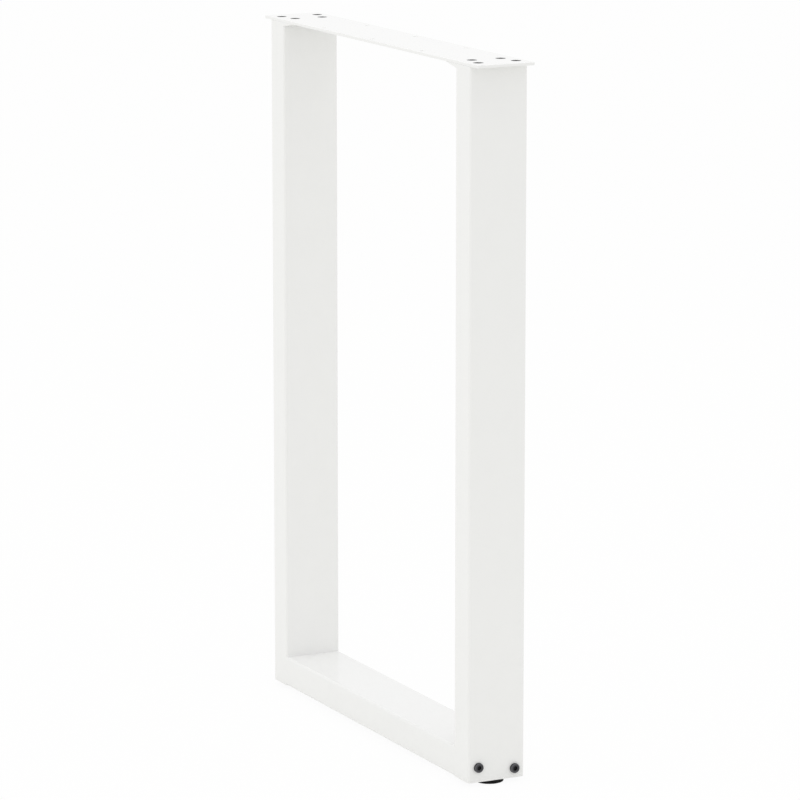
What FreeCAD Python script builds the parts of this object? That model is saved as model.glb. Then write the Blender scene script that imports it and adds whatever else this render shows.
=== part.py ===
import FreeCAD, Part
import Sketcher
import math
import os

# U-shaped table leg: two upright rectangular tubes and a bottom rail of the same
# tube, a flat top plate that the table top lies on, and a levelling foot under
# each upright. The frame stands along X, faces -Y and rises along +Z from the
# floor at Z = 0. All lengths are in millimetres.

doc = FreeCAD.newDocument("TableLeg")
sheet = doc.addObject("Spreadsheet::Sheet", "Sizes")

SIZES = {
    # frame of rectangular tube
    "frame_width": 450.0,
    "frame_height": 707.0,
    "tube_depth": 62.0,
    "tube_breadth": 31.0,
    "tube_wall": 1.5,
    "tube_corner": 2.5,
    "tube_inner_corner": 1.0,
    # top plate
    "plate_overhang": 15.0,
    "plate_thickness": 3.0,
    "plate_corner": 2.0,
    # holes for the screws that go up into the table top
    "top_hole_radius": 2.75,
    "top_hole_pitch": 110.0,
    "top_hole_edge": 7.0,
    # blocks that fill the tube ends and take the screws
    "block_clearance": 0.1,
    "top_block_height": 24.0,
    "bottom_block_height": 40.0,
    "rail_block_length": 26.0,
    "thread_clearance": 0.05,
    # countersunk screws of the plate
    "plate_screw_radius": 2.0,
    "plate_screw_head_radius": 4.2,
    "plate_screw_length": 20.0,
    "plate_screw_inset": 4.3,
    "plate_screw_wide": 20.4,
    "plate_screw_narrow": 15.5,
    "plate_screw_socket": 1.45,
    "plate_screw_socket_depth": 1.4,
    "plate_screw_recess": 0.1,
    # button-head screws of the rail
    "rail_screw_radius": 3.0,
    "rail_screw_head_radius": 5.1,
    "rail_screw_head_height": 3.1,
    "rail_screw_crown": 2.2,
    "rail_screw_grip": 20.0,
    "rail_screw_side": 20.0,
    "rail_screw_front_height": 15.0,
    "rail_screw_back_height": 9.7,
    "rail_screw_socket": 2.3,
    "rail_screw_socket_depth": 1.9,
    "screw_play": 0.2,
    # levelling feet
    "pad_radius": 14.5,
    "pad_thickness": 4.0,
    "pad_bevel": 0.6,
    "pad_gap": 0.3,
    "pad_floor": 1.5,
    "stem_radius": 4.0,
    "stem_length": 36.0,
}

for row, (alias, size) in enumerate(SIZES.items(), start=1):
    sheet.set("A%d" % row, alias)
    sheet.set("B%d" % row, str(size))
    sheet.setAlias("B%d" % row, alias)
doc.recompute()

bodies = []


def cell(text):
    """Turn plain size names in a formula into references to the sheet."""
    words = text.replace("(", " ( ").replace(")", " ) ").split()
    return " ".join("Sizes." + word if word in SIZES else word for word in words)


def new_body(label):
    """Start a solid that is written to a file of its own name."""
    body = doc.addObject("PartDesign::Body", label)
    body.Label = label
    bodies.append(body)
    return body


def place(body, x="0", y="0", z="0", axis=None, angle=0.0):
    """Put a body at a position given as formulas, turned about one axis."""
    if axis is not None:
        turn = FreeCAD.Rotation(axis, angle)
        body.Placement = FreeCAD.Placement(FreeCAD.Vector(), turn)
    for direction, formula in (("x", x), ("y", y), ("z", z)):
        body.setExpression("Placement.Base." + direction, cell(formula))


def new_sketch(body, plane_role, name, offset="0"):
    """Start a sketch on an origin plane of its body, moved along its normal."""
    planes = [item for item in body.Origin.OriginFeatures if item.Role == plane_role]
    sketch = body.newObject("Sketcher::SketchObject", name)
    sketch.AttachmentSupport = [(planes[0], "")]
    sketch.MapMode = "FlatFace"
    sketch.setExpression("AttachmentOffset.Base.z", cell(offset))
    return sketch


def bind(sketch, constraint, name, formula):
    """Add a dimension to a sketch and tie it to a formula of the sheet."""
    index = sketch.addConstraint(constraint)
    sketch.renameConstraint(index, name)
    sketch.setExpression("Constraints." + name, cell(formula))


def draw_outline(sketch, corners):
    """Draw a closed outline whose corners are pairs of formulas."""
    first = sketch.GeometryCount
    count = len(corners)
    points = []
    for index in range(count):
        turn = 2.0 * math.pi * index / count
        points.append(FreeCAD.Vector(5.0 * math.cos(turn), 5.0 * math.sin(turn), 0))
    for index in range(count):
        sketch.addGeometry(Part.LineSegment(points[index], points[(index + 1) % count]))
    for index in range(count):
        line = first + index
        following = first + (index + 1) % count
        sketch.addConstraint(Sketcher.Constraint("Coincident", line, 2, following, 1))
        x_formula, y_formula = corners[index]
        if x_formula == "0":
            sketch.addConstraint(Sketcher.Constraint("PointOnObject", line, 1, -2))
        else:
            at_x = Sketcher.Constraint("DistanceX", -1, 1, line, 1, points[index].x)
            bind(sketch, at_x, "x%d" % line, x_formula)
        if y_formula == "0":
            sketch.addConstraint(Sketcher.Constraint("PointOnObject", line, 1, -1))
        else:
            at_y = Sketcher.Constraint("DistanceY", -1, 1, line, 1, points[index].y)
            bind(sketch, at_y, "y%d" % line, y_formula)


def draw_rectangle(sketch, width, height):
    """Draw a rectangle about the sketch origin."""
    half_width = "( %s ) / 2" % width
    half_height = "( %s ) / 2" % height
    draw_outline(sketch, [
        ("-1 * " + half_width, "-1 * " + half_height),
        (half_width, "-1 * " + half_height),
        (half_width, half_height),
        ("-1 * " + half_width, half_height),
    ])


def draw_circle(sketch, radius, x="0", y="0"):
    """Draw a circle whose centre and radius are formulas."""
    circle = Part.Circle(FreeCAD.Vector(1, 1, 0), FreeCAD.Vector(0, 0, 1), 1.0)
    index = sketch.addGeometry(circle)
    bind(sketch, Sketcher.Constraint("Radius", index, 1.0), "r%d" % index, radius)
    if x == "0":
        sketch.addConstraint(Sketcher.Constraint("PointOnObject", index, 3, -2))
    else:
        at_x = Sketcher.Constraint("DistanceX", -1, 1, index, 3, 1.0)
        bind(sketch, at_x, "x%d" % index, x)
    if y == "0":
        sketch.addConstraint(Sketcher.Constraint("PointOnObject", index, 3, -1))
    else:
        at_y = Sketcher.Constraint("DistanceY", -1, 1, index, 3, 1.0)
        bind(sketch, at_y, "y%d" % index, y)


def draw_polygon(sketch, sides, corner_radius):
    """Draw a regular polygon about the origin, with a corner on the X axis."""
    corners = []
    for index in range(sides):
        turn = 2.0 * math.pi * index / sides
        across = round(math.cos(turn), 9)
        up = round(math.sin(turn), 9)
        corners.append((
            "%.9f * ( %s )" % (across, corner_radius) if across else "0",
            "%.9f * ( %s )" % (up, corner_radius) if up else "0",
        ))
    draw_outline(sketch, corners)


def pad(body, sketch, length, down=False):
    """Raise a sketch along its normal, or sink it, by a formula's length."""
    feature = body.newObject("PartDesign::Pad", "Pad")
    feature.Profile = sketch
    feature.Reversed = down
    feature.setExpression("Length", cell(length))
    doc.recompute()
    return feature


def cut(body, sketch, depth=None):
    """Cut a sketch back along its normal, through everything or to a depth."""
    before = body.Shape.Volume
    feature = body.newObject("PartDesign::Pocket", "Pocket")
    feature.Profile = sketch
    if depth is None:
        feature.Type = "ThroughAll"
    else:
        feature.setExpression("Length", cell(depth))
    doc.recompute()
    if body.Shape.Volume >= before:
        raise RuntimeError(body.Label + ": a pocket removed nothing")
    return feature


def revolve(body, corners):
    """Turn an outline in the XZ plane about the Z axis."""
    sketch = new_sketch(body, "XZ_Plane", "Profile")
    draw_outline(sketch, corners)
    feature = body.newObject("PartDesign::Revolution", "Revolution")
    feature.Profile = sketch
    feature.ReferenceAxis = (sketch, ["V_Axis"])
    feature.Angle = 360.0
    doc.recompute()
    return feature


def round_edges(body, feature, chosen, radius, kind="PartDesign::Fillet"):
    """Round or bevel the edges of a feature that pass a test."""
    names = []
    for index, edge in enumerate(feature.Shape.Edges, start=1):
        if chosen(edge):
            names.append("Edge%d" % index)
    dressing = body.newObject(kind, "Dressing")
    dressing.Base = (feature, names)
    size_name = "Radius" if kind == "PartDesign::Fillet" else "Size"
    dressing.setExpression(size_name, cell(radius))
    doc.recompute()
    return dressing


def runs_along(edge, axis):
    """True for a straight edge along the given unit vector."""
    if edge.Curve.TypeId != "Part::GeomLine":
        return False
    return abs(abs(edge.Curve.Direction.dot(axis)) - 1.0) < 1e-6


ALONG_Z = FreeCAD.Vector(0, 0, 1)
ABOUT_Y = FreeCAD.Vector(0, 1, 0)
HALF_BREADTH = SIZES["tube_breadth"] / 2.0
HALF_WALL = SIZES["tube_wall"] / 2.0

SIDES = (("left", -1), ("right", 1))
SCREW_SIDES = 16
SOCKET_SIDES = 6
CONE_SLOPE = 45.0

LEG_X = "( frame_width - tube_breadth ) / 2"
FRAME_Z = "( pad_thickness + pad_gap )"
PLATE_Z = FRAME_Z + " + frame_height"
RAIL_LENGTH = "( frame_width - 2 * tube_breadth )"
RAIL_SCREW_LENGTH = "( tube_breadth + rail_screw_grip )"
BORE = "( tube_wall + block_clearance )"
RAIL_MIDDLE = "tube_breadth / 2"
RAIL_SCREWS = (
    ("-1 * rail_screw_side", "rail_screw_front_height"),
    ("rail_screw_side", "rail_screw_back_height"),
)


def tube(label, length):
    """A rectangular tube along Z with rounded corners outside and inside."""
    body = new_body(label)
    section = new_sketch(body, "XY_Plane", "Section")
    draw_rectangle(section, "tube_breadth", "tube_depth")
    draw_rectangle(section, "tube_breadth - 2 * tube_wall", "tube_depth - 2 * tube_wall")
    wall = pad(body, section, length)

    def is_outer(edge):
        return abs(edge.CenterOfMass.x) > HALF_BREADTH - HALF_WALL

    def outer(edge):
        return runs_along(edge, ALONG_Z) and is_outer(edge)

    def inner(edge):
        return runs_along(edge, ALONG_Z) and not is_outer(edge)

    rounded = round_edges(body, wall, outer, "tube_corner")
    round_edges(body, rounded, inner, "tube_inner_corner")
    return body


def block(label, height):
    """A solid block that slides into the end of a tube."""
    body = new_body(label)
    section = new_sketch(body, "XY_Plane", "Section")
    draw_rectangle(section, "tube_breadth - 2 * %s" % BORE, "tube_depth - 2 * %s" % BORE)
    solid = pad(body, section, height)
    round_edges(body, solid, lambda edge: runs_along(edge, ALONG_Z), "tube_inner_corner",
                "PartDesign::Chamfer")
    return body


def stretch(body, radius, base, length, down=False):
    """Add a round stretch of a screw as a many-sided prism."""
    section = new_sketch(body, "XY_Plane", "Section", base)
    draw_polygon(section, SCREW_SIDES, radius)
    return pad(body, section, length, down)


def cone(body, radius, base, length, down=False):
    """Start a screw with a stretch that narrows away from its base at 45 degrees."""
    prism = stretch(body, radius, base, length, down)
    base_height = prism.Profile[0].AttachmentOffset.Base.z
    sides = []
    for index, face in enumerate(prism.Shape.Faces, start=1):
        if abs(face.normalAt(0, 0).z) < 0.5:
            sides.append("Face%d" % index)
        elif abs(face.CenterOfMass.z - base_height) < prism.Length.Value / 2.0:
            seat = "Face%d" % index
    feature = body.newObject("PartDesign::Draft", "Cone")
    feature.Base = (prism, sides)
    feature.NeutralPlane = (prism, [seat])
    feature.Angle = CONE_SLOPE
    feature.Reversed = down
    doc.recompute()


def socket(body, top, corner_radius, depth):
    """Sink a hexagon socket into the head of a screw."""
    sketch = new_sketch(body, "XY_Plane", "Socket", top)
    draw_polygon(sketch, SOCKET_SIDES, corner_radius)
    cut(body, sketch, depth)


def plate_screw_places():
    """Centres of the four screws over one leg, from the leg's own axis."""
    reach = "( tube_breadth / 2 - plate_screw_inset )"
    for side, spread in ((1, "plate_screw_wide"), (-1, "plate_screw_narrow")):
        for edge in (-1, 1):
            yield side, edge, reach, spread


def build_legs():
    for side, sign in SIDES:
        body = tube(side + "_leg_tube", "frame_height")
        holes = new_sketch(body, "YZ_Plane", "Screw_Holes", "tube_breadth")
        for across, height in RAIL_SCREWS:
            draw_circle(holes, "rail_screw_radius + screw_play", across, height)
        cut(body, holes)
        place(body, "%d * %s" % (sign, LEG_X), "0", FRAME_Z)


def build_rail():
    body = tube("bottom_rail_tube", RAIL_LENGTH)
    place(body, "-1 * %s / 2" % RAIL_LENGTH, "0", FRAME_Z + " + " + RAIL_MIDDLE, ABOUT_Y, 90.0)


def build_top_plate():
    body = new_body("top_plate")
    outline = new_sketch(body, "XY_Plane", "Outline")
    draw_rectangle(outline, "frame_width + 2 * plate_overhang", "tube_depth")
    slab = pad(body, outline, "plate_thickness")
    round_edges(body, slab, lambda edge: runs_along(edge, ALONG_Z), "plate_corner")

    holes = new_sketch(body, "XY_Plane", "Screw_Holes", "plate_thickness")
    for _, sign in SIDES:
        for side, edge, reach, spread in plate_screw_places():
            x = "%d * ( %s + %d * %s )" % (sign, LEG_X, side, reach)
            draw_circle(holes, "plate_screw_radius + screw_play", x, "%d * %s" % (edge, spread))
    drilled = cut(body, holes)

    def screw_rim(edge):
        on_top = edge.CenterOfMass.z > SIZES["plate_thickness"] / 2.0
        round_hole = edge.Curve.TypeId == "Part::GeomCircle" and edge.Closed
        return on_top and round_hole

    sink = "plate_screw_head_radius - plate_screw_radius"
    round_edges(body, drilled, screw_rim, sink, "PartDesign::Chamfer")

    fixings = new_sketch(body, "XY_Plane", "Table_Top_Holes", "plate_thickness")
    for step in (-1, 0, 1):
        for edge in (-1, 1):
            x = "%d * top_hole_pitch" % step if step else "0"
            draw_circle(fixings, "top_hole_radius", x,
                        "%d * ( tube_depth / 2 - top_hole_edge )" % edge)
    cut(body, fixings)
    place(body, "0", "0", PLATE_Z)


def build_blocks():
    for side, sign in SIDES:
        top = block(side + "_top_block", "top_block_height")
        holes = new_sketch(top, "XY_Plane", "Threads", "top_block_height")
        for towards, edge, reach, spread in plate_screw_places():
            draw_circle(holes, "plate_screw_radius + thread_clearance",
                        "%d * %s" % (sign * towards, reach), "%d * %s" % (edge, spread))
        cut(top, holes)
        place(top, "%d * %s" % (sign, LEG_X), "0", PLATE_Z + " - top_block_height")

        bottom = block(side + "_bottom_block", "bottom_block_height")
        thread = new_sketch(bottom, "XY_Plane", "Foot_Thread", "bottom_block_height")
        draw_circle(thread, "stem_radius + thread_clearance")
        cut(bottom, thread)
        crossing = new_sketch(bottom, "YZ_Plane", "Screw_Ways", "tube_breadth")
        for across, height in RAIL_SCREWS:
            draw_circle(crossing, "rail_screw_radius + screw_play", across, height)
        cut(bottom, crossing)
        place(bottom, "%d * %s" % (sign, LEG_X), "0", FRAME_Z)

        end = block(side + "_rail_block", "rail_block_length")
        threads = new_sketch(end, "XY_Plane", "Threads", "rail_block_length")
        for across, height in RAIL_SCREWS:
            draw_circle(threads, "rail_screw_radius + thread_clearance",
                        "%d * ( %s - %s )" % (sign, RAIL_MIDDLE, height), across)
        cut(end, threads)
        place(end, "%d * ( %s / 2 - rail_block_length )" % (sign, RAIL_LENGTH), "0",
              FRAME_Z + " + " + RAIL_MIDDLE, ABOUT_Y, 90.0 * sign)


def build_plate_screws():
    head_drop = "( plate_screw_head_radius - plate_screw_radius )"
    for side_name, sign in SIDES:
        for number, (side, edge, reach, spread) in enumerate(plate_screw_places(), start=1):
            body = new_body("%s_plate_screw_%d" % (side_name, number))
            cone(body, "plate_screw_head_radius", "0", head_drop, down=True)
            stretch(body, "plate_screw_radius", "0", "plate_screw_length", down=True)
            socket(body, "0", "plate_screw_socket", "plate_screw_socket_depth")
            place(body, "%d * ( %s + %d * %s )" % (sign, LEG_X, side, reach),
                  "%d * %s" % (edge, spread),
                  PLATE_Z + " + plate_thickness - plate_screw_recess")


def build_rail_screws():
    brim = "( rail_screw_head_height - rail_screw_crown )"
    for side, sign in SIDES:
        for number, (across, height) in enumerate(RAIL_SCREWS, start=1):
            body = new_body("%s_rail_screw_%d" % (side, number))
            cone(body, "rail_screw_head_radius", brim, "rail_screw_crown")
            stretch(body, "rail_screw_head_radius", "0", brim)
            stretch(body, "rail_screw_radius", "0", RAIL_SCREW_LENGTH, down=True)
            socket(body, "rail_screw_head_height", "rail_screw_socket",
                   "rail_screw_socket_depth")
            place(body, "%d * frame_width / 2" % sign, across, FRAME_Z + " + " + height,
                  ABOUT_Y, 90.0 * sign)


def build_feet():
    for side, sign in SIDES:
        pad_body = new_body(side + "_foot_pad")
        revolve(pad_body, [
            ("0", "0"),
            ("pad_radius", "0"),
            ("pad_radius", "pad_thickness - pad_bevel"),
            ("pad_radius - pad_bevel", "pad_thickness"),
            ("stem_radius + thread_clearance", "pad_thickness"),
            ("stem_radius + thread_clearance", "pad_floor"),
            ("0", "pad_floor"),
        ])
        place(pad_body, "%d * %s" % (sign, LEG_X))

        stem = new_body(side + "_foot_stem")
        stretch(stem, "stem_radius", "0", "stem_length")
        place(stem, "%d * %s" % (sign, LEG_X), "0", "pad_floor")


build_legs()
build_rail()
build_top_plate()
build_blocks()
build_plate_screws()
build_rail_screws()
build_feet()
doc.recompute()

for item in doc.Objects:
    if "Invalid" in item.State or "Error" in item.State:
        raise RuntimeError(item.Label + ": " + ", ".join(item.State))
for body in bodies:
    if body.Shape.isNull() or not body.Shape.isValid():
        raise RuntimeError(body.Label + ": the solid is not valid")

os.makedirs("parts", exist_ok=True)
for body in bodies:
    body.Shape.exportStep("parts/%s.step" % body.Label)
    box = body.Shape.BoundBox
    print("%-22s solids %d volume %9.1f  x %7.2f %7.2f  y %6.2f %6.2f  z %6.2f %6.2f" % (
        body.Label, len(body.Shape.Solids), body.Shape.Volume,
        box.XMin, box.XMax, box.YMin, box.YMax, box.ZMin, box.ZMax))
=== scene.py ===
"""U-shaped table leg of white powder-coated tube, dressed and lit for a studio picture."""

import logging
import math
from collections.abc import Callable
from dataclasses import dataclass
from enum import Enum

import bmesh
import bpy
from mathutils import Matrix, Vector


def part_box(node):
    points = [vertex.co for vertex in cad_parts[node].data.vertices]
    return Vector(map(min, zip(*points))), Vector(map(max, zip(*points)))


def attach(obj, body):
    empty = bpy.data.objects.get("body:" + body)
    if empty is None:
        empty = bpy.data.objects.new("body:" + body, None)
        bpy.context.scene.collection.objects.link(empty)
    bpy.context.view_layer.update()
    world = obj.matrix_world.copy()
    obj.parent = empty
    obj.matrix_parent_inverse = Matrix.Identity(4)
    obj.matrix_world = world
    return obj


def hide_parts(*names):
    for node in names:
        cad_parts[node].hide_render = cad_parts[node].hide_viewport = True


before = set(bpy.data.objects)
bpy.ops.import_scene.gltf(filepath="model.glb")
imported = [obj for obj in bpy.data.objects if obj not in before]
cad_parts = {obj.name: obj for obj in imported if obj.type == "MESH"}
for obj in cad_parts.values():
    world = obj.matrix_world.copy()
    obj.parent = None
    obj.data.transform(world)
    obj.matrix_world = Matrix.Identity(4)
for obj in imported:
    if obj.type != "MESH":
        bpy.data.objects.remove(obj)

MM = 0.001
# places closer together than this count as one
NEAR = 0.05 * MM
# vertices closer together than this are merged
DOUBLES = 0.002 * MM
# how far a shank reaches into the head above it
OVERLAP = 0.1 * MM
# width of the bevel at a socket's mouth, as a share of the key
SOCKET_MOUTH = 0.12
# a rolled thread's depth, flank and flat, as shares of its pitch
THREAD_DEPTH, THREAD_FLANK, THREAD_FLAT = 0.55, 0.38, 0.12
THREAD_STEPS = 24
# how deep a screw's core lies below the crests, as a share of the pitch
CORE_DEPTH = 0.5
RAIL_SCREWS = (1, 2)
PLATE_SCREWS = (1, 2, 3, 4)
UP = Vector((0.0, 0.0, 1.0))
WHITE = (1.0, 1.0, 1.0, 1.0)
LOG = logging.getLogger("table_leg")


class Side(Enum):
    """The two uprights, with the direction of each along X."""

    LEFT = -1
    RIGHT = 1

    @property
    def word(self) -> str:
        """Name of the side as the nodes and bodies spell it."""
        return self.name.lower()


# Colour and shader helpers


def linear(hex_colour: str) -> tuple[float, float, float, float]:
    """Turn a written sRGB colour to the linear values that shaders take.

    Args:
        hex_colour: Six hexadecimal digits, with or without a leading #.

    Returns:
        Linear red, green and blue, and an alpha of 1.
    """
    digits = hex_colour.lstrip("#")
    channels = []
    for start in (0, 2, 4):
        value = int(digits[start:start + 2], 16) / 255.0
        channels.append(value / 12.92 if value <= 0.04045 else ((value + 0.055) / 1.055) ** 2.4)
    return (*channels, 1.0)


def add_node(tree: bpy.types.NodeTree, kind: str, settings: dict | None = None,
             inputs: dict | None = None,
             stops: tuple[tuple[float, str], ...] = ()) -> bpy.types.Node:
    """Add a shader node, set it up and link what feeds it.

    Args:
        tree: The node tree that takes the node.
        kind: Blender's name for the node type.
        settings: Attributes of the node itself.
        inputs: Values for its input sockets, or output sockets to link to them.
        stops: The two positions of a colour ramp, each with its sRGB colour.

    Returns:
        The new node.
    """
    node = tree.nodes.new(kind)
    for name, value in (settings or {}).items():
        setattr(node, name, value)
    for name, value in (inputs or {}).items():
        socket = node.inputs[name]
        if isinstance(value, bpy.types.NodeSocket):
            tree.links.new(value, socket)
        else:
            socket.default_value = value
    for number, (position, colour) in enumerate(stops):
        node.color_ramp.elements[number].position = position
        node.color_ramp.elements[number].color = linear(colour)
    return node


@dataclass(frozen=True)
class Finish:
    """What every finish has: a name, a colour and a gloss."""

    name: str
    colour: str
    roughness: float

    def start(self) -> tuple[bpy.types.Material, bpy.types.NodeTree, bpy.types.Node]:
        """Make the material with its shader and output.

        Returns:
            The material, its node tree and its Principled shader.
        """
        material = bpy.data.materials.new(self.name)
        material.use_nodes = True
        material.diffuse_color = linear(self.colour)
        tree = material.node_tree
        tree.nodes.clear()
        shader = add_node(tree, "ShaderNodeBsdfPrincipled", inputs={
            "Base Color": linear(self.colour), "Roughness": self.roughness})
        add_node(tree, "ShaderNodeOutputMaterial", inputs={"Surface": shader.outputs["BSDF"]})
        return material, tree, shader


@dataclass(frozen=True)
class PowderCoat(Finish):
    """Polyester powder, sprayed on steel and baked: satin white with a fine orange peel."""

    shade_colour: str = "F4F4F3"
    peel_mm: float = 1.8
    peel_depth_mm: float = 0.008
    peel_strength: float = 0.35
    mottle_mm: float = 25.0
    gloss_change: float = 0.03
    index: float = 1.5

    def build(self) -> bpy.types.Material:
        """Make the powder coat.

        Returns:
            The finished material.
        """
        material, tree, shader = self.start()
        shader.inputs["IOR"].default_value = self.index
        place = add_node(tree, "ShaderNodeTexCoord").outputs["Object"]
        # a coat a little thicker in one place than in another, seen as a very faint mottle
        mottle = add_node(tree, "ShaderNodeTexNoise", inputs={
            "Vector": place, "Scale": 1.0 / (self.mottle_mm * MM), "Detail": 3.0})
        tone = add_node(tree, "ShaderNodeValToRGB", inputs={"Fac": mottle.outputs["Fac"]},
                        stops=((0.3, self.shade_colour), (0.7, self.colour)))
        tree.links.new(tone.outputs["Color"], shader.inputs["Base Color"])
        # the orange peel: soft dimples about as wide as the powder's melted grains flow together
        peel = add_node(tree, "ShaderNodeTexNoise", inputs={
            "Vector": place, "Scale": 1.0 / (self.peel_mm * MM), "Detail": 1.5,
            "Roughness": 0.4})
        bump = add_node(tree, "ShaderNodeBump", inputs={
            "Height": peel.outputs["Fac"], "Strength": self.peel_strength,
            "Distance": self.peel_depth_mm * MM})
        tree.links.new(bump.outputs["Normal"], shader.inputs["Normal"])
        gloss = add_node(tree, "ShaderNodeMapRange", inputs={
            "Value": peel.outputs["Fac"], "To Min": self.roughness - self.gloss_change,
            "To Max": self.roughness + self.gloss_change})
        tree.links.new(gloss.outputs["Result"], shader.inputs["Roughness"])
        return material


@dataclass(frozen=True)
class BlackOxide(Finish):
    """Steel blackened in a hot salt bath and oiled: dark, slightly glossy, grey on its edges
    from wear and a painted highlight.
    """

    # the lighter colour of the edges, partly wear and partly a painted highlight
    edge_colour: str = "3C3C3F"
    metallic: float = 0.6
    cloud_mm: float = 2.5
    wear_and_highlight_from: float = 0.51
    wear_and_highlight_to: float = 0.55
    # what the clouds take off the roughness at most, and what they add to it
    smoother: float = 0.1
    rougher: float = 0.15
    # wider than real turning marks, about 0.1 mm, which are too fine to show
    turning_mm: float = 0.35
    turning_depth_mm: float = 0.02
    turning_strength: float = 0.2

    def build(self) -> bpy.types.Material:
        """Make the blackened steel.

        Returns:
            The finished material.
        """
        material, tree, shader = self.start()
        shader.inputs["Metallic"].default_value = self.metallic
        place = add_node(tree, "ShaderNodeTexCoord").outputs["Object"]
        # oil and oxide lie unevenly, so the gloss is cloudy
        cloud = add_node(tree, "ShaderNodeTexNoise", inputs={
            "Vector": place, "Scale": 1.0 / (self.cloud_mm * MM), "Detail": 4.0})
        gloss = add_node(tree, "ShaderNodeMapRange", inputs={
            "Value": cloud.outputs["Fac"], "To Min": self.roughness - self.smoother,
            "To Max": self.roughness + self.rougher})
        tree.links.new(gloss.outputs["Result"], shader.inputs["Roughness"])
        # lighter on the outer edges: wear where handling rubs the black off, and a painted edge
        # highlight
        bend = add_node(tree, "ShaderNodeNewGeometry").outputs["Pointiness"]
        wear_and_highlight = add_node(tree, "ShaderNodeMapRange", inputs={
            "Value": bend, "From Min": self.wear_and_highlight_from, "From Max": self.wear_and_highlight_to})
        worn_and_highlit = add_node(tree, "ShaderNodeMixRGB", inputs={
            "Fac": wear_and_highlight.outputs["Result"], "Color1": linear(self.colour),
            "Color2": linear(self.edge_colour)})
        tree.links.new(worn_and_highlit.outputs["Color"], shader.inputs["Base Color"])
        # what the turning tool left on the steel
        grain = add_node(tree, "ShaderNodeTexNoise", inputs={
            "Vector": place, "Scale": 1.0 / (self.turning_mm * MM), "Detail": 2.0})
        bump = add_node(tree, "ShaderNodeBump", inputs={
            "Height": grain.outputs["Fac"], "Strength": self.turning_strength,
            "Distance": self.turning_depth_mm * MM})
        tree.links.new(bump.outputs["Normal"], shader.inputs["Normal"])
        return material


@dataclass(frozen=True)
class MouldedPlastic(Finish):
    """Black plastic from a spark-eroded mould: dull, with a fine even grain."""

    light_colour: str = "121212"
    # wider than the real grain, about 0.1 mm, which is too fine to show
    grain_mm: float = 0.5
    grain_depth_mm: float = 0.04
    grain_strength: float = 0.4
    gleam: float = 0.12
    index: float = 1.52

    def build(self) -> bpy.types.Material:
        """Make the moulded plastic.

        Returns:
            The finished material.
        """
        material, tree, shader = self.start()
        shader.inputs["IOR"].default_value = self.index
        shader.inputs["Specular IOR Level"].default_value = self.gleam
        place = add_node(tree, "ShaderNodeTexCoord").outputs["Object"]
        grain = add_node(tree, "ShaderNodeTexVoronoi", inputs={
            "Vector": place, "Scale": 1.0 / (self.grain_mm * MM)})
        tone = add_node(tree, "ShaderNodeValToRGB", inputs={"Fac": grain.outputs["Distance"]},
                        stops=((0.0, self.colour), (0.9, self.light_colour)))
        tree.links.new(tone.outputs["Color"], shader.inputs["Base Color"])
        bump = add_node(tree, "ShaderNodeBump", inputs={
            "Height": grain.outputs["Distance"], "Strength": self.grain_strength,
            "Distance": self.grain_depth_mm * MM})
        tree.links.new(bump.outputs["Normal"], shader.inputs["Normal"])
        return material


@dataclass(frozen=True)
class ZincPlate(Finish):
    """Bright zinc, electroplated on a rolled thread: pale grey metal, lightly clouded."""

    dull_colour: str = "9FA3A8"
    cloud_mm: float = 3.0
    # what the clouds take off the roughness at most, and what they add to it
    smoother: float = 0.08
    rougher: float = 0.12

    def build(self) -> bpy.types.Material:
        """Make the zinc plate.

        Returns:
            The finished material.
        """
        material, tree, shader = self.start()
        shader.inputs["Metallic"].default_value = 1.0
        place = add_node(tree, "ShaderNodeTexCoord").outputs["Object"]
        cloud = add_node(tree, "ShaderNodeTexNoise", inputs={
            "Vector": place, "Scale": 1.0 / (self.cloud_mm * MM), "Detail": 5.0})
        tone = add_node(tree, "ShaderNodeValToRGB", inputs={"Fac": cloud.outputs["Fac"]},
                        stops=((0.35, self.dull_colour), (0.65, self.colour)))
        tree.links.new(tone.outputs["Color"], shader.inputs["Base Color"])
        gloss = add_node(tree, "ShaderNodeMapRange", inputs={
            "Value": cloud.outputs["Fac"], "To Min": self.roughness - self.smoother,
            "To Max": self.roughness + self.rougher})
        tree.links.new(gloss.outputs["Result"], shader.inputs["Roughness"])
        return material


# Modelling helpers


def clear_selection() -> None:
    """Leave edit mode and let go of everything that is selected."""
    if bpy.context.object and bpy.context.object.mode != "OBJECT":
        bpy.ops.object.mode_set(mode="OBJECT")
    bpy.ops.object.select_all(action="DESELECT")


def pick(piece: bpy.types.Object) -> None:
    """Select one piece alone and make it the active one.

    Args:
        piece: The piece.
    """
    clear_selection()
    bpy.context.view_layer.objects.active = piece
    piece.select_set(True)


def start_disc(name: str, radius: float, sides: int, height: float = 0.0) -> bpy.types.Object:
    """Start a turned piece from a flat disc about the Z axis, left in edit mode.

    Args:
        name: Name of the new piece.
        radius: Radius of the disc.
        sides: Number of its corners.
        height: Where it lies along Z.

    Returns:
        The new object, with the whole disc selected.
    """
    clear_selection()
    bpy.ops.mesh.primitive_circle_add(vertices=sides, radius=radius, fill_type="NGON",
                                      location=(0.0, 0.0, height))
    disc = bpy.context.object
    disc.name = disc.data.name = name
    bpy.ops.object.transform_apply(location=True, rotation=True, scale=True)
    bpy.ops.object.mode_set(mode="EDIT")
    bpy.ops.mesh.select_mode(type="FACE")
    bpy.ops.mesh.select_all(action="SELECT")
    return disc


def start_block(name: str, low: Vector, high: Vector) -> bpy.types.Object:
    """Start a piece from a square block between two corners, left in edit mode.

    Args:
        name: Name of the new piece.
        low: Its lowest corner.
        high: Its highest corner.

    Returns:
        The new object, with nothing selected.
    """
    clear_selection()
    bpy.ops.mesh.primitive_cube_add(size=1.0, location=(low + high) / 2)
    block = bpy.context.object
    block.name = block.data.name = name
    block.scale = high - low
    bpy.ops.object.transform_apply(location=True, rotation=True, scale=True)
    bpy.ops.object.mode_set(mode="EDIT")
    bpy.ops.mesh.select_mode(type="EDGE")
    bpy.ops.mesh.select_all(action="DESELECT")
    return block


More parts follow.
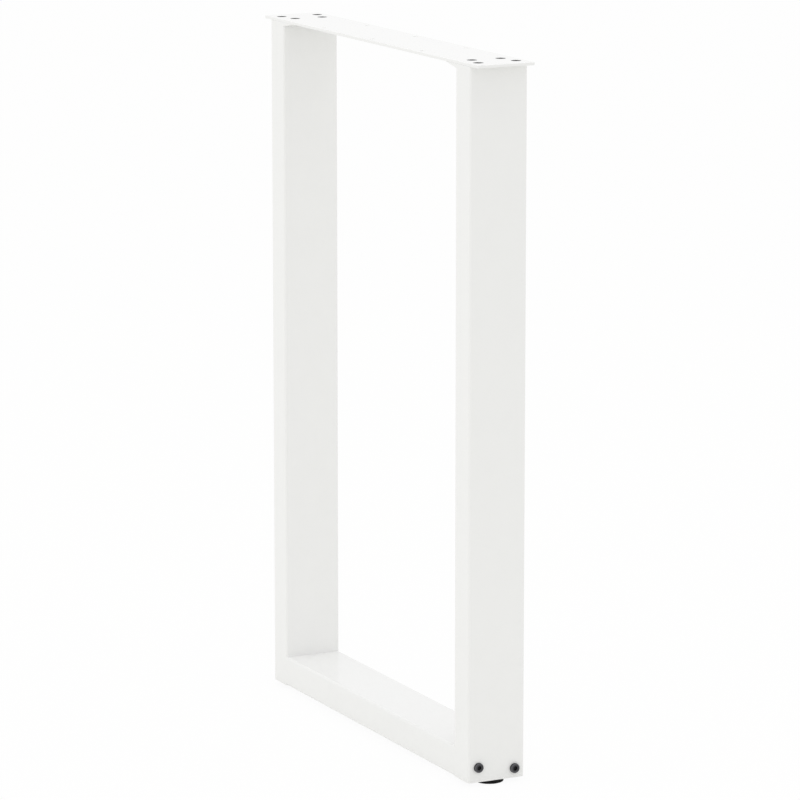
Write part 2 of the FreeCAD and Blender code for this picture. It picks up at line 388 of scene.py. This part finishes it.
def choose_edges(piece: bpy.types.Object, test: Callable[[Vector, Vector], bool]) -> None:
    """Select the edges of the piece in edit mode that pass a test.

    Args:
        piece: The object in edit mode.
        test: A function of an edge's two ends that says whether it is wanted.
    """
    bpy.ops.mesh.select_mode(type="EDGE")
    bpy.ops.mesh.select_all(action="DESELECT")
    mesh = bmesh.from_edit_mesh(piece.data)
    for edge in mesh.edges:
        if test(edge.verts[0].co, edge.verts[1].co):
            edge.select_set(True)
    bmesh.update_edit_mesh(piece.data)


def round_edges(radius: float, steps: int) -> None:
    """Round the selected edges.

    Args:
        radius: How far the rounding reaches.
        steps: How many faces it has across.
    """
    bpy.ops.mesh.bevel(offset=radius, segments=steps, profile=0.5, affect="EDGES")


def raise_face(rise: float, scale: float = 1.0) -> None:
    """Extrude the selected face along Z and scale its outline about the axis.

    Args:
        rise: How far it goes along Z; a negative rise sinks it.
        scale: Share of its width that is left.
    """
    bpy.ops.mesh.extrude_region_move(TRANSFORM_OT_translate={"value": (0.0, 0.0, rise)})
    if scale != 1.0:
        bpy.ops.transform.resize(value=(scale, scale, 1.0), center_override=(0.0, 0.0, 0.0))


def turn_profile(start: tuple[float, float], outline: list[tuple[float, float]]) -> None:
    """Carry the selected round face through a turned outline.

    Args:
        start: Radius and height where the face is now.
        outline: Radii and heights that it goes through, one after another.
    """
    radius, height = start
    for next_radius, next_height in outline:
        raise_face(next_height - height, next_radius / radius)
        radius, height = next_radius, next_height


def choose_faces(piece: bpy.types.Object, test: Callable[[bmesh.types.BMFace], bool]) -> None:
    """Select the faces of the piece in edit mode that pass a test.

    Args:
        piece: The object in edit mode.
        test: A function of a face that says whether it is wanted.
    """
    mesh = bmesh.from_edit_mesh(piece.data)
    for face in mesh.faces:
        face.select_set(False)
    for face in mesh.faces:
        if test(face):
            face.select_set(True)
    bmesh.update_edit_mesh(piece.data)


def apply_modifiers(piece: bpy.types.Object) -> None:
    """Apply the piece's modifiers in their order.

    Args:
        piece: The object whose stack is applied.
    """
    pick(piece)
    for modifier in list(piece.modifiers):
        bpy.ops.object.modifier_apply(modifier=modifier.name)


def cut_away(piece: bpy.types.Object, cutter: bpy.types.Object) -> None:
    """Cut the shape of one mesh out of another, and remove the first.

    Args:
        piece: The piece that is cut.
        cutter: The closed shape that is taken out of it.
    """
    pick(cutter)
    bpy.ops.object.mode_set(mode="EDIT")
    bpy.ops.mesh.select_all(action="SELECT")
    bpy.ops.mesh.normals_make_consistent(inside=False)
    clear_selection()
    hollow = piece.modifiers.new("cut", "BOOLEAN")
    hollow.operation = "DIFFERENCE"
    hollow.object = cutter
    hollow.solver = "EXACT"
    apply_modifiers(piece)
    bpy.data.objects.remove(cutter, do_unlink=True)


def sink_hexagon(piece: bpy.types.Object, across_flats: float, top: float, depth: float) -> None:
    """Cut a hexagon socket with a bevelled mouth into the top of a head.

    Args:
        piece: The head, standing along Z.
        across_flats: Width of the key.
        top: Height of the head's top.
        depth: Depth of the socket.
    """
    corner = across_flats / math.sqrt(3.0)
    mouth = SOCKET_MOUTH * across_flats
    cutter = start_disc("socket_cutter", corner, sides=6, height=top - depth)
    raise_face(depth - mouth)
    raise_face(mouth, (corner + mouth) / corner)
    raise_face(mouth)
    cut_away(piece, cutter)


def roll_thread(name: str, radius: float, pitch: float, bottom: float,
                top: float) -> bpy.types.Object:
    """Roll a screw thread along Z, as a helix of one tooth.

    Args:
        name: Name of the new object.
        radius: Radius over the crests.
        pitch: Distance from crest to crest.
        bottom: Height where the thread starts.
        top: Height where it ends.

    Returns:
        The thread, open inside, to be closed by a core.
    """
    depth = THREAD_DEPTH * pitch
    root = radius - depth
    clear_selection()
    bpy.ops.mesh.primitive_plane_add(size=pitch, location=(root, 0.0, bottom))
    thread = bpy.context.object
    thread.name = thread.data.name = name
    bpy.ops.object.transform_apply(location=True, rotation=True, scale=True)
    bpy.ops.object.mode_set(mode="EDIT")
    bpy.ops.mesh.select_all(action="SELECT")
    bpy.ops.mesh.merge(type="CENTER")
    for across, up in ((depth, THREAD_FLANK), (0.0, THREAD_FLAT),
                       (-depth, THREAD_FLANK), (0.0, THREAD_FLAT)):
        bpy.ops.mesh.extrude_vertices_move(
            TRANSFORM_OT_translate={"value": (across, 0.0, up * pitch)})
    clear_selection()
    helix = thread.modifiers.new("helix", "SCREW")
    helix.axis = "Z"
    helix.angle = 2.0 * math.pi
    helix.screw_offset = pitch
    helix.iterations = int((top - bottom) / pitch) - 1
    helix.steps = helix.render_steps = THREAD_STEPS
    helix.use_merge_vertices = True
    helix.merge_threshold = 0.001 * pitch
    apply_modifiers(thread)
    return thread


def join_pieces(main: bpy.types.Object, others: list[bpy.types.Object]) -> bpy.types.Object:
    """Join other meshes into one piece.

    Args:
        main: The piece that keeps its name.
        others: The meshes that go into it.

    Returns:
        The joined piece.
    """
    clear_selection()
    for other in others:
        other.select_set(True)
    main.select_set(True)
    bpy.context.view_layer.objects.active = main
    bpy.ops.object.join()
    return main


def face_outwards(piece: bpy.types.Object, smooth_angle: float = 35.0) -> None:
    """Merge doubles, turn the faces outwards and smooth what isn't a hard edge.

    Args:
        piece: The finished mesh.
        smooth_angle: Edges flatter than this are shaded smooth, in degrees.
    """
    pick(piece)
    bpy.ops.object.mode_set(mode="EDIT")
    bpy.ops.mesh.select_all(action="SELECT")
    bpy.ops.mesh.remove_doubles(threshold=DOUBLES)
    bpy.ops.mesh.normals_make_consistent(inside=False)
    bpy.ops.object.mode_set(mode="OBJECT")
    bpy.ops.object.shade_smooth_by_angle(angle=math.radians(smooth_angle))


def keep_flats(piece: bpy.types.Object) -> None:
    """Weight the normals by area, so that flat faces stay flat up to their rounded edges.

    Args:
        piece: A piece that is already smoothed.
    """
    weighting = piece.modifiers.new("weighting", "WEIGHTED_NORMAL")
    weighting.keep_sharp = True
    apply_modifiers(piece)


def middle_of(node: str) -> Vector:
    """Find the middle of a node's box.

    Args:
        node: Name of the node.

    Returns:
        Its middle.
    """
    low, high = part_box(node)
    return (Vector(low) + Vector(high)) / 2


def set_place(piece: bpy.types.Object, place: Vector, outward: Vector) -> None:
    """Stand a finished piece on its place and apply that to its mesh.

    Args:
        piece: A piece modelled about the origin, with +Z outwards.
        place: Where its origin goes.
        outward: The direction that its +Z takes.
    """
    pick(piece)
    piece.location = place
    piece.rotation_mode = "QUATERNION"
    piece.rotation_quaternion = outward.to_track_quat("Z", "Y")
    bpy.ops.object.transform_apply(location=True, rotation=True, scale=True)


def copy_piece(piece: bpy.types.Object, name: str) -> bpy.types.Object:
    """Copy a modelled piece, with a mesh of its own.

    Args:
        piece: The piece that was modelled once.
        name: Name of the copy.

    Returns:
        The copy, linked to the scene.
    """
    twin = piece.copy()
    twin.data = piece.data.copy()
    twin.name = twin.data.name = name
    bpy.context.collection.objects.link(twin)
    return twin


def dress(piece: bpy.types.Object, material: bpy.types.Material) -> None:
    """Give a whole piece one finish.

    Args:
        piece: The piece to dress.
        material: Its finish.
    """
    piece.data.materials.clear()
    piece.data.materials.append(material)


def dress_faces(piece: bpy.types.Object, material: bpy.types.Material,
                test: Callable[[bmesh.types.BMFace], bool]) -> None:
    """Give some faces of a dressed piece a finish of their own.

    Args:
        piece: The piece, already dressed.
        material: The finish of the chosen faces.
        test: A function of a face that says whether it takes the finish.
    """
    pick(piece)
    piece.data.materials.append(material)
    piece.active_material_index = len(piece.data.materials) - 1
    bpy.ops.object.mode_set(mode="EDIT")
    bpy.ops.mesh.select_mode(type="FACE")
    choose_faces(piece, test)
    bpy.ops.object.material_slot_assign()
    clear_selection()


# The leg's own pieces


@dataclass
class Frame:
    """The tubes of the leg, and the blocks inside their ends."""

    nylon: MouldedPlastic = MouldedPlastic("moulded_nylon", "141414", roughness=0.55,
                                           light_colour="262626", gleam=0.5)
    coated: tuple[str, ...] = ("left_leg_tube", "right_leg_tube", "bottom_rail_tube")
    blocks: tuple[str, ...] = ("top_block", "bottom_block", "rail_block")

    def build(self, coat: bpy.types.Material) -> None:
        """Dress the tubes and the blocks inside them.

        Args:
            coat: Finish of the tubes.
        """
        for node in self.coated:
            self.dress_node(node, coat)
        nylon = self.nylon.build()
        for side in Side:
            for block in self.blocks:
                self.dress_node(f"{side.word}_{block}", nylon)

    def dress_node(self, node: str, material: bpy.types.Material) -> None:
        """Give every material slot of a carried-over node one finish.

        Args:
            node: Name of the node.
            material: Its finish.
        """
        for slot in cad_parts[node].material_slots:
            slot.material = material
        LOG.info("%s: %s", node, material.name)


@dataclass
class Welds:
    """Welds that are ground flush and coated over: at the rail's ends and under the plate."""

    corner: float = 2.5 * MM
    corner_steps: int = 8
    # how far a web stays inside the tube's faces, and a fill above the rail's underside
    lift: float = 0.05 * MM
    web_reach: float = 20.0 * MM
    web_drop: float = 4.5 * MM
    web_toe: float = 0.4 * MM
    web_edge: float = 0.3 * MM
    web_edge_steps: int = 3

    def groove(self, side: Side, face: int) -> bpy.types.Object:
        """Fill the groove between the rail's end and the upright's rounded edge.

        Args:
            side: Which upright.
            face: -1 for the groove in front, 1 for the one behind.

        Returns:
            The finished fill.
        """
        low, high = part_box("bottom_rail_tube")
        along = sorted((side.value * high[0], side.value * (high[0] + self.corner)))
        across = sorted((face * high[1], face * (high[1] - self.corner)))
        outer = face * high[1]
        fill = start_block(f"{side.word}_rail_weld_{'front' if face < 0 else 'back'}",
                           Vector((along[0], across[0], low[2] + self.lift)),
                           Vector((along[1], across[1], high[2])))
        choose_edges(fill, lambda a, b: abs(a.y - outer) < NEAR
                     and abs(b.y - outer) < NEAR and abs(a.z - b.z) < NEAR)
        round_edges(self.corner - self.lift, self.corner_steps)
        return fill

    def web(self, side: Side) -> bpy.types.Object:
        """Model the thin sloping web between an upright's inner face and the plate.

        Args:
            side: Which upright.

        Returns:
            The finished web.
        """
        low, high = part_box(f"{side.word}_leg_tube")
        inner = high[0] if side is Side.LEFT else low[0]
        toe = inner - side.value * self.web_reach
        along = sorted((toe, inner + side.value * self.corner))
        web = start_block(f"{side.word}_plate_web",
                          Vector((along[0], low[1] + self.lift, high[2] - self.web_drop)),
                          Vector((along[1], high[1] - self.lift, high[2])))
        bottom = high[2] - self.web_drop
        choose_edges(web, lambda a, b: all(
            abs(v.x - toe) < NEAR and abs(v.z - bottom) < NEAR for v in (a, b)))
        bpy.ops.transform.translate(value=(0.0, 0.0, self.web_drop - self.web_toe))
        choose_edges(web, lambda a, b: max(a.z, b.z) < high[2] - 0.5 * self.web_toe)
        round_edges(self.web_edge, self.web_edge_steps)
        return web

    def build(self, coat: bpy.types.Material) -> None:
        """Lay the welds.

        Args:
            coat: Their finish.
        """
        for side in Side:
            for weld in (self.groove(side, -1), self.groove(side, 1), self.web(side)):
                face_outwards(weld)
                keep_flats(weld)
                dress(weld, coat)
                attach(weld, "frame")
                LOG.info("%s laid", weld.name)


@dataclass
class TopPlate:
    """The plate under the table top: sheared, its edges eased, drilled and countersunk."""

    corner: float = 2.0 * MM
    corner_steps: int = 6
    upper_edge: float = 0.7 * MM
    lower_edge: float = 0.2 * MM
    edge_steps: int = 4
    screw_radius: float = 5.2 * MM
    shank_radius: float = 2.2 * MM
    hole_radius: float = 2.75 * MM
    hole_pitch: float = 110.0 * MM
    hole_side: float = 24.0 * MM
    hole_easing: float = 0.3 * MM
    # how far a cutting shape goes beyond the plate
    past: float = 0.5 * MM
    sides: int = 48

    def hole(self, name: str, narrow: float, wide: float, low: float,
             high: float) -> bpy.types.Object:
        """Model the shape of a hole that widens at the plate's top.

        Args:
            name: Name of the shape.
            narrow: Radius of the hole below.
            wide: Radius of its mouth.
            low: Height of the plate's underside.
            high: Height of the plate's top.

        Returns:
            The shape to cut away, about the Z axis.
        """
        shape = start_disc(name, narrow, self.sides, low - self.past)
        turn_profile((narrow, low - self.past), [
            (narrow, high - (wide - narrow)), (wide, high), (wide, high + self.past)])
        clear_selection()
        return shape

    def build(self, coat: bpy.types.Material) -> None:
        """Model the plate in its place.

        Args:
            coat: Its finish.
        """
        low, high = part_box("top_plate")
        plate = start_block("top_plate_detail", Vector(low), Vector(high))
        choose_edges(plate, lambda a, b: abs(a.z - b.z) > NEAR)
        round_edges(self.corner, self.corner_steps)
        for level, radius in ((high[2], self.upper_edge), (low[2], self.lower_edge)):
            choose_edges(plate, lambda a, b: max(abs(a.z - level), abs(b.z - level)) < NEAR)
            round_edges(radius, self.edge_steps)
        countersink = self.hole("countersink", self.shank_radius, self.screw_radius,
                                low[2], high[2])
        drilling = self.hole("drilling", self.hole_radius,
                             self.hole_radius + self.hole_easing, low[2], high[2])
        shapes = []
        for side in Side:
            for number in PLATE_SCREWS:
                middle = middle_of(f"{side.word}_plate_screw_{number}")
                shapes.append((countersink, middle.x, middle.y))
        for step in (-1, 0, 1):
            for across in (-1, 1):
                shapes.append((drilling, step * self.hole_pitch, across * self.hole_side))
        for number, (shape, x, y) in enumerate(shapes):
            cutter = copy_piece(shape, f"plate_hole_{number}")
            set_place(cutter, Vector((x, y, 0.0)), UP)
            cut_away(plate, cutter)
        for shape in (countersink, drilling):
            bpy.data.objects.remove(shape, do_unlink=True)
        face_outwards(plate)
        keep_flats(plate)
        dress(plate, coat)
        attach(plate, "frame")
        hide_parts("top_plate")
        LOG.info("%s with %d holes", plate.name, len(shapes))


@dataclass
class ScrewMaker:
    """What both kinds of screw share: the sizes of head, shank and socket, and the shank."""

    head_radius: float
    shank_radius: float
    shank_length: float
    socket: float
    socket_depth: float
    pitch: float
    # the chamfer at the shank's end, as a share of the shank's radius
    tip_share: float = 0.25
    sides: int = 48

    def shank(self, name: str, top: float) -> list[bpy.types.Object]:
        """Model the threaded shank below a head.

        Args:
            name: Name to start the pieces' names with.
            top: Height where the shank meets the head.

        Returns:
            The core and its thread.
        """
        tip = self.tip_share * self.shank_radius
        root = self.shank_radius - CORE_DEPTH * self.pitch
        core = start_disc(name + "_core", root - tip, self.sides, -self.shank_length)
        turn_profile((root - tip, -self.shank_length), [
            (root, -self.shank_length + tip), (root, top)])
        thread = roll_thread(name + "_thread", self.shank_radius, self.pitch,
                             -self.shank_length + tip, top)
        return [core, thread]

    def put(self, model: bpy.types.Object, node: str, seat: Vector, outward: Vector) -> None:
        """Copy the modelled screw to the place of one of the nodes.

        Args:
            model: The screw that was modelled once.
            node: Name of the node that the copy replaces.
            seat: Where the model's origin goes.
            outward: The direction that its head faces.
        """
        screw = copy_piece(model, node + "_detail")
        set_place(screw, seat, outward)
        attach(screw, "frame")
        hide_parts(node)
        LOG.info("%s at %s", screw.name, tuple(round(v, 4) for v in seat))


@dataclass
class RailScrews(ScrewMaker):
    """Button-head screws that hold the rail, two on the outside of each upright."""

    head_radius: float = 4.9 * MM
    shank_radius: float = 3.0 * MM
    shank_length: float = 51.0 * MM
    socket: float = 4.0 * MM
    socket_depth: float = 1.9 * MM
    pitch: float = 1.0 * MM
    head_height: float = 3.1 * MM
    seat_edge: float = 0.2 * MM
    brim: float = 2.0 * MM
    shoulder: float = 1.3 * MM
    shoulder_steps: int = 6
    # faces above the brim whose normal points outwards by more than this take a lighter finish,
    # a painted highlight
    highlight_slope: float = 0.35

    def model(self) -> bpy.types.Object:
        """Model one screw about the origin, its head's underside at Z = 0.

        Returns:
            The finished screw.
        """
        flat = self.head_radius - self.shoulder
        seat_radius = self.head_radius - self.seat_edge
        screw = start_disc("rail_screw_model", seat_radius, self.sides)
        outline = [(self.head_radius, self.seat_edge), (self.head_radius, self.brim)]
        for step in range(1, self.shoulder_steps + 1):
            turn = 0.5 * math.pi * step / self.shoulder_steps
            radius = flat + self.shoulder * math.cos(turn)
            height = self.brim + (self.head_height - self.brim) * math.sin(turn)
            outline.append((radius, height))
        turn_profile((seat_radius, 0.0), outline)
        clear_selection()
        sink_hexagon(screw, self.socket, self.head_height, self.socket_depth)
        join_pieces(screw, self.shank("rail_screw_model", OVERLAP))
        face_outwards(screw)
        return screw

    def build(self, material: bpy.types.Material, painted_highlight: bpy.types.Material) -> None:
        """Copy the screw to its four places.

        Args:
            material: Finish of the screws.
            painted_highlight: Finish of the heads' tops, lighter as a painted highlight.
        """
        model = self.model()
        dress(model, material)
        # the heads' outward faces take the lighter finish: a painted highlight
        dress_faces(model, painted_highlight, lambda face: face.normal.z > self.highlight_slope
                    and face.calc_center_median().z > self.brim)
        for side in Side:
            for number in RAIL_SCREWS:
                node = f"{side.word}_rail_screw_{number}"
                low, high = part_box(node)
                crown = low[0] if side is Side.LEFT else high[0]
                seat = middle_of(node)
                seat.x = crown - side.value * self.head_height
                self.put(model, node, seat, Vector((side.value, 0.0, 0.0)))
        bpy.data.objects.remove(model, do_unlink=True)


@dataclass
class PlateScrews(ScrewMaker):
    """Countersunk screws that hold the top plate, four over each upright."""

    head_radius: float = 5.15 * MM
    shank_radius: float = 2.0 * MM
    shank_length: float = 20.0 * MM
    socket: float = 3.0 * MM
    socket_depth: float = 1.6 * MM
    pitch: float = 0.7 * MM
    edge: float = 0.25 * MM
    edge_taper: float = 0.05 * MM

    def model(self) -> bpy.types.Object:
        """Model one screw about the origin, the top of its head at Z = 0.

        Returns:
            The finished screw.
        """
        drop = self.head_radius - self.shank_radius
        screw = start_disc("plate_screw_model", self.shank_radius, self.sides, -drop)
        turn_profile((self.shank_radius, -drop), [
            (self.head_radius, -self.edge), (self.head_radius - self.edge_taper, 0.0)])
        clear_selection()
        sink_hexagon(screw, self.socket, 0.0, self.socket_depth)
        join_pieces(screw, self.shank("plate_screw_model", OVERLAP - drop))
        face_outwards(screw)
        return screw

    def build(self, material: bpy.types.Material) -> None:
        """Copy the screw to its eight places.

        Args:
            material: Finish of the screws.
        """
        model = self.model()
        dress(model, material)
        for side in Side:
            for number in PLATE_SCREWS:
                node = f"{side.word}_plate_screw_{number}"
                seat = middle_of(node)
                seat.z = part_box(node)[1][2]
                self.put(model, node, seat, UP)
        bpy.data.objects.remove(model, do_unlink=True)


@dataclass
class LevellingFeet:
    """The two levelling feet, each a moulded pad with a fluted rim on a threaded stem."""

    radius: float = 14.5 * MM
    height: float = 4.0 * MM
    rim: float = 0.7 * MM
    # where the rim's rounding has its middle point, as a share of the rim
    rim_step: float = 0.3
    flutes: int = 24
    flute_depth: float = 0.5 * MM
    flute_edge: float = 0.12 * MM
    # depths of the hollow underneath and the dish on top, their edges as shares of the radius
    recess: float = 0.5 * MM
    recess_share: float = 0.72
    tread_share: float = 0.76
    dish: float = 0.4 * MM
    dish_share: float = 0.58
    dish_edge_share: float = 0.62
    # the boss round the stem, measured from the bore
    boss: float = 1.8 * MM
    boss_foot: float = 2.0 * MM
    bore_play: float = 0.05 * MM
    bore_depth: float = 2.4 * MM
    stem_radius: float = 4.0 * MM
    stem_pitch: float = 1.25 * MM
    stem_neck: float = 2.6 * MM
    neck_end: float = 3.0 * MM
    thread_start: float = 2.8 * MM
    stem_chamfer: float = 0.8 * MM
    sides: int = 96

    def pad(self) -> bpy.types.Object:
        """Model the pad about the origin, its underside at Z = 0.

        Returns:
            The finished pad.
        """
        bore = self.stem_radius + self.bore_play
        under = self.radius * self.recess_share
        step = self.rim_step * self.rim
        pad = start_disc("foot_pad_model", under, self.sides, self.recess)
        turn_profile((under, self.recess), [
            (self.radius * self.tread_share, 0.0),
            (self.radius - self.rim, 0.0),
            (self.radius - step, step),
            (self.radius, self.rim),
            (self.radius, self.height - self.rim),
            (self.radius - step, self.height - step),
            (self.radius - self.rim, self.height),
            (self.radius * self.dish_edge_share, self.height),
            (self.radius * self.dish_share, self.height - self.dish),
            (bore + self.boss_foot, self.height - self.dish),
            (bore + self.boss, self.height),
            (bore, self.height),
            (bore, self.height - self.bore_depth),
        ])
        choose_faces(pad, self.is_flute)
        bpy.ops.mesh.inset(thickness=self.flute_edge, use_individual=True)
        bpy.ops.transform.shrink_fatten(value=-self.flute_depth)
        clear_selection()
        face_outwards(pad)
        return pad

    def is_flute(self, face: bmesh.types.BMFace) -> bool:
        """Say whether a face of the pad becomes one of the rim's flutes.

        Args:
            face: A face of the pad.

        Returns:
            Whether it is the first of its group on the rim's upright wall.
        """
        centre = face.calc_center_median()
        turn = 2.0 * math.pi
        on_wall = abs(centre.z - self.height / 2) < NEAR
        step = math.atan2(centre.y, centre.x) % turn / turn * self.sides
        return on_wall and int(step) % (self.sides // self.flutes) == 0

    def stem(self) -> bpy.types.Object:
        """Model the stem about the origin, its lower end at Z = 0.

        Returns:
            The finished stem.
        """
        low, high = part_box("left_foot_stem")
        length = high[2] - low[2]
        root = self.stem_radius - CORE_DEPTH * self.stem_pitch
        core = start_disc("foot_stem_model", self.stem_radius, self.sides // 2)
        turn_profile((self.stem_radius, 0.0), [
            (self.stem_radius, self.stem_neck), (root, self.neck_end),
            (root, length - self.stem_chamfer), (root - self.stem_chamfer, length)])
        clear_selection()
        thread = roll_thread("foot_stem_thread", self.stem_radius, self.stem_pitch,
                             self.thread_start, length - self.stem_chamfer)
        join_pieces(core, [thread])
        face_outwards(core)
        return core

    def build(self, plastic: bpy.types.Material, zinc: bpy.types.Material) -> None:
        """Copy the pad and the stem to their places under both uprights.

        Args:
            plastic: Finish of the pads.
            zinc: Finish of the stems.
        """
        models = ((self.pad(), "pad", plastic, "black_foot_plastic"),
                  (self.stem(), "stem", zinc, "zinc_plated_steel"))
        for side in Side:
            body = f"{side.word}_foot"
            for model, part, material, slot in models:
                node = f"{body}_{part}"
                piece = copy_piece(model, node + "_detail")
                place = middle_of(node)
                place.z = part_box(node)[0][2]
                set_place(piece, place, UP)
                dress(piece, material)
                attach(piece, body)
                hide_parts(node)
                LOG.info("%s rides on %s", piece.name, body)
        for model, *_ in models:
            bpy.data.objects.remove(model, do_unlink=True)


# Studio


@dataclass(frozen=True)
class Softbox:
    """A round soft lamp: where it hangs, how wide it is and how strong."""

    name: str
    place: tuple[float, float, float]
    size: float
    power: float


@dataclass
class Studio:
    """The pale floor, the soft light and the camera."""

    floor_size: float = 60.0
    floor_colour: str = "F4F4F1"
    camera_place: tuple[float, float, float] = (4.0042, -1.9953, 1.2362)
    camera_heading: float = 153.437
    camera_pitch: float = -11.259
    lens: float = 202.484
    sensor: float = 36.0
    view_depth: float = 200.0
    sky: float = 0.88
    # the sky is a little brighter in reflections than where it lights the leg
    mirrored_sky: float = 0.95
    # share of the floor that is plain white to the camera and in reflections
    glow: float = 0.95
    aim: tuple[float, float, float] = (0.0, 0.0, 0.36)
    softboxes: tuple[Softbox, ...] = (
        Softbox("front_softbox", (-0.4, -3.0, 1.6), size=2.5, power=8.0),
        Softbox("side_softbox", (3.2, 0.6, 0.9), size=2.0, power=0.8),
        Softbox("top_softbox", (0.3, 0.2, 3.2), size=2.5, power=12.0))

    def paper(self) -> bpy.types.Material:
        """Make the floor's paper, white to the camera where nothing shades it.

        Returns:
            The finished material.
        """
        material = bpy.data.materials.new("floor_paper")
        material.use_nodes = True
        tree = material.node_tree
        tree.nodes.clear()
        paper = add_node(tree, "ShaderNodeBsdfDiffuse", inputs={
            "Color": linear(self.floor_colour)})
        glow = add_node(tree, "ShaderNodeEmission", inputs={"Color": WHITE, "Strength": 1.0})
        path = add_node(tree, "ShaderNodeLightPath")
        seen = add_node(tree, "ShaderNodeMath", {"operation": "ADD", "use_clamp": True})
        tree.links.new(path.outputs["Is Camera Ray"], seen.inputs[0])
        tree.links.new(path.outputs["Is Glossy Ray"], seen.inputs[1])
        share = add_node(tree, "ShaderNodeMath", {"operation": "MULTIPLY"})
        tree.links.new(seen.outputs[0], share.inputs[0])
        share.inputs[1].default_value = self.glow
        mix = add_node(tree, "ShaderNodeMixShader", inputs={"Fac": share.outputs[0]})
        tree.links.new(paper.outputs[0], mix.inputs[1])
        tree.links.new(glow.outputs[0], mix.inputs[2])
        add_node(tree, "ShaderNodeOutputMaterial", inputs={"Surface": mix.outputs[0]})
        return material

    def floor(self) -> None:
        """Lay the floor in two halves, so that a foot screwed out still stands on its half."""
        material = self.paper()
        for side in Side:
            clear_selection()
            bpy.ops.mesh.primitive_plane_add(size=self.floor_size, location=(0.0, 0.0, 0.0))
            half = bpy.context.object
            half.name = f"studio_floor_{side.word}"
            bpy.ops.object.mode_set(mode="EDIT")
            bpy.ops.mesh.select_all(action="SELECT")
            bpy.ops.mesh.bisect(plane_co=(0.0, 0.0, 0.0), plane_no=(-side.value, 0.0, 0.0),
                                clear_outer=True)
            bpy.ops.object.mode_set(mode="OBJECT")
            half.data.materials.append(material)
            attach(half, f"{side.word}_foot")

    def world(self) -> None:
        """Light everything evenly from a pale sky, seen as white."""
        world = bpy.data.worlds.new("studio_sky")
        bpy.context.scene.world = world
        world.use_nodes = True
        tree = world.node_tree
        tree.nodes.clear()
        path = add_node(tree, "ShaderNodeLightPath")
        mirrored = add_node(tree, "ShaderNodeMapRange", inputs={
            "Value": path.outputs["Is Glossy Ray"], "To Min": self.sky,
            "To Max": self.mirrored_sky})
        level = add_node(tree, "ShaderNodeMapRange", inputs={
            "Value": path.outputs["Is Camera Ray"], "To Min": mirrored.outputs["Result"],
            "To Max": 1.0})
        sky = add_node(tree, "ShaderNodeBackground", inputs={
            "Color": WHITE, "Strength": level.outputs["Result"]})
        add_node(tree, "ShaderNodeOutputWorld", inputs={"Surface": sky.outputs[0]})

    def lamps(self) -> None:
        """Hang large soft boxes in front of the leg, beside it and above it."""
        for softbox in self.softboxes:
            light = bpy.data.lights.new(softbox.name, "AREA")
            light.shape = "DISK"
            light.size = softbox.size
            light.energy = softbox.power
            lamp = bpy.data.objects.new(softbox.name, light)
            lamp.location = softbox.place
            lamp.rotation_mode = "QUATERNION"
            towards = Vector(self.aim) - Vector(softbox.place)
            lamp.rotation_quaternion = towards.to_track_quat("-Z", "Y")
            bpy.context.collection.objects.link(lamp)

    def camera(self) -> None:
        """Set the camera where the photograph was taken from, looking down without a shift."""
        data = bpy.data.cameras.new("camera")
        data.sensor_width = self.sensor
        data.lens = self.lens
        data.clip_end = self.view_depth
        camera = bpy.data.objects.new("camera", data)
        camera.location = self.camera_place
        heading, pitch = math.radians(self.camera_heading), math.radians(self.camera_pitch)
        ahead = Vector((math.cos(pitch) * math.cos(heading), math.cos(pitch) * math.sin(heading),
                        math.sin(pitch)))
        camera.rotation_mode = "QUATERNION"
        camera.rotation_quaternion = ahead.to_track_quat("-Z", "Y")
        bpy.context.collection.objects.link(camera)
        bpy.context.scene.camera = camera

    def build(self) -> None:
        """Build the studio."""
        self.floor()
        self.world()
        self.lamps()
        self.camera()
        bpy.context.scene.view_settings.view_transform = "Standard"


def main() -> None:
    """Build and dress the leg, then the studio."""
    logging.basicConfig(level=logging.INFO, format="%(name)s: %(message)s")
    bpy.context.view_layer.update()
    coat = PowderCoat("powder_coated_steel", "F5F5F4", roughness=0.1).build()
    Frame().build(coat)
    TopPlate().build(coat)
    Welds().build(coat)
    # the screws' edges are lighter: wear and a painted edge highlight
    screw_steel = BlackOxide("black_oxide_steel", "161618", roughness=0.5,
                             edge_colour="3C3C3F").build()
    # a lighter finish for the rail screws' head tops: a painted highlight
    painted_highlight_steel = BlackOxide("black_oxide_steel_rubbed", "444447", roughness=0.36,
                              edge_colour="747478").build()
    RailScrews().build(screw_steel, painted_highlight_steel)
    PlateScrews().build(screw_steel)
    plastic = MouldedPlastic("moulded_foot_plastic", "070707", roughness=0.5).build()
    zinc = ZincPlate("zinc_plated_steel", "C4C8CC", roughness=0.32).build()
    LevellingFeet().build(plastic, zinc)
    Studio().build()
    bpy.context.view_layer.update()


if __name__ == "__main__":
    main()
